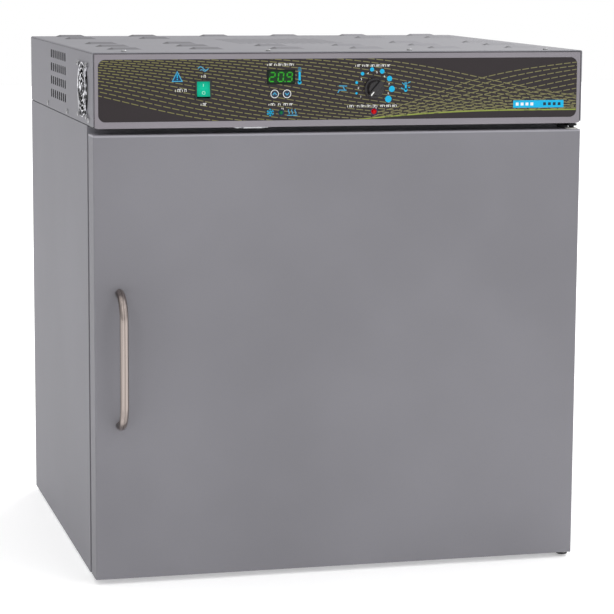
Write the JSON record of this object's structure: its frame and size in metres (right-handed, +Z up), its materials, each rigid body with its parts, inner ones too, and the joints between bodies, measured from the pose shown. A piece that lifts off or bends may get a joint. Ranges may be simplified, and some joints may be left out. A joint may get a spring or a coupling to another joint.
{
  "type": "laboratory incubator",
  "caption": "Bench incubator: insulated steel cabinet with a hinged door, stainless chamber with wire shelves, and a control console with vents, fan, display, switch and dial.",
  "frame": {"origin": "centre of the object's footprint at the level of the feet's undersides, which stand on the bench", "axes": "+Z up, -Y out of the door's front face towards the person using it, +X to that person's right, where the door's hinge is"},
  "size_m": [0.7176, 0.676, 0.7518],
  "materials": {
    "painted_steel_light": "satin",
    "painted_steel_door": "satin",
    "bezel_paint": "satin",
    "stainless": "satin",
    "bright_steel": "polished",
    "galvanised_steel": "satin",
    "insulation_foam": "matte",
    "black_plastic": "matte",
    "overlay_print": "satin",
    "button_print": "satin",
    "knob_plastic": "satin",
    "green_lens": "gloss",
    "red_lens": "gloss",
    "lamp_green_lens": "gloss",
    "display_glass": "gloss",
    "black_rubber": "matte",
    "grey_silicone": "matte",
    "white_silicone": "matte",
    "fin_aluminium": "satin",
    "module_ceramic": "matte",
    "board_laminate": "satin",
    "wire_insulation": "satin",
    "bush_nylon": "satin",
    "probe_steel": "polished"
  },
  "bodies": {
    "cabinet": {"right_side_panel": "painted_steel_light", "left_side_panel": "painted_steel_light", "base_panel": "galvanised_steel", "top_deck": "galvanised_steel", "front_frame": "painted_steel_light", "chamber_liner": "stainless", "wall_insulation": "insulation_foam", "inner_back_panel": "galvanised_steel", "rear_cover": "painted_steel_light", "rubber_feet": "black_rubber", "shelf_standards": "stainless", "shelf_clips": "stainless", "duct_panel": "stainless", "temperature_probes": "probe_steel", "cold_sink": "fin_aluminium", "peltier_module": "module_ceramic", "hot_sink": "fin_aluminium", "access_port_sleeve": "black_plastic", "side_fan_frame": "black_plastic", "side_fan_guard": "bright_steel", "heat_sink_fan_frame": "black_plastic", "rear_fan_guard": "bright_steel", "circulation_fan_frame": "black_plastic", "top_hinge_bracket": "galvanised_steel", "bottom_hinge_bracket": "galvanised_steel", "hinge_pins": "probe_steel", "catch_plate": "galvanised_steel", "console_base": "galvanised_steel", "console_cover": "painted_steel_light", "console_bezel": "bezel_paint", "console_rear_panel": "painted_steel_light", "control_backplate": "galvanised_steel", "control_overlay": "overlay_print", "display_module": "display_glass", "power_switch_housing": "black_plastic", "overtemp_thermostat": "black_plastic", "overtemp_lamp": "red_lens", "cooling_lamp": "lamp_green_lens", "control_board": "board_laminate", "power_supply": "galvanised_steel", "power_inlet": "black_plastic", "wiring_harness": "wire_insulation", "case_screws": "probe_steel"},
    "door": {"door_skin": "painted_steel_door", "door_insulation": "insulation_foam", "door_liner": "stainless", "door_gasket": "black_rubber", "door_handle": "stainless", "door_screws": "probe_steel", "hinge_bushes": "bush_nylon"},
    "upper_shelf": {"shelf_upper": "bright_steel"},
    "lower_shelf": {"shelf_lower": "bright_steel"},
    "console_fan_blades": {"side_fan_rotor": "black_plastic"},
    "heat_sink_fan_blades": {"heat_sink_fan_rotor": "black_plastic"},
    "circulation_fan_blades": {"circulation_fan_rotor": "black_plastic"},
    "rocker": {"power_rocker": "green_lens"},
    "up_button": {"button_up": "button_print"},
    "down_button": {"button_down": "button_print"},
    "knob": {"overtemp_knob": "knob_plastic"},
    "stopper": {"port_stopper": "white_silicone"}
  },
  "joints": [
    {"name": "door_swing", "type": "hinge", "parent": "cabinet", "child": "door", "pos_m": [0.3465, -0.281, 0], "axis": [0, 0, 1], "range_deg": [0, 120]},
    {"name": "upper_shelf_slide", "type": "slide", "parent": "cabinet", "child": "upper_shelf", "axis": [0, -1, 0], "range_m": [0, 0.02]},
    {"name": "lower_shelf_slide", "type": "slide", "parent": "cabinet", "child": "lower_shelf", "axis": [0, -1, 0], "range_m": [0, 0.02]},
    {"name": "console_fan_spin", "type": "hinge", "parent": "cabinet", "child": "console_fan_blades", "pos_m": [-0.354, -0.2195, 0.6945], "axis": [1, 0, 0], "continuous": true},
    {"name": "heat_sink_fan_spin", "type": "hinge", "parent": "cabinet", "child": "heat_sink_fan_blades", "pos_m": [0, 0.3265, 0.326], "axis": [0, 1, 0], "continuous": true},
    {"name": "circulation_fan_spin", "type": "hinge", "parent": "cabinet", "child": "circulation_fan_blades", "pos_m": [0, 0.1892, 0.326], "axis": [0, 1, 0], "continuous": true},
    {"name": "rocker_tilt", "type": "hinge", "parent": "cabinet", "child": "rocker", "pos_m": [-0.201, -0.29, 0.697], "axis": [1, 0, 0], "range_deg": [0, 16]},
    {"name": "button_up_press", "type": "slide", "parent": "cabinet", "child": "up_button", "axis": [0, 1, 0], "range_m": [0, 0.001], "stiffness_N_per_m": 300, "springref_m": -0.001},
    {"name": "button_down_press", "type": "slide", "parent": "cabinet", "child": "down_button", "axis": [0, 1, 0], "range_m": [0, 0.001], "stiffness_N_per_m": 300, "springref_m": -0.001},
    {"name": "knob_turn", "type": "hinge", "parent": "cabinet", "child": "knob", "pos_m": [0.0444, -0.296, 0.6973], "axis": [0, 1, 0], "range_deg": [0, 265]},
    {"name": "stopper_pull", "type": "slide", "parent": "cabinet", "child": "stopper", "axis": [0, 1, 0], "range_m": [0, 0.06]}
  ]
}
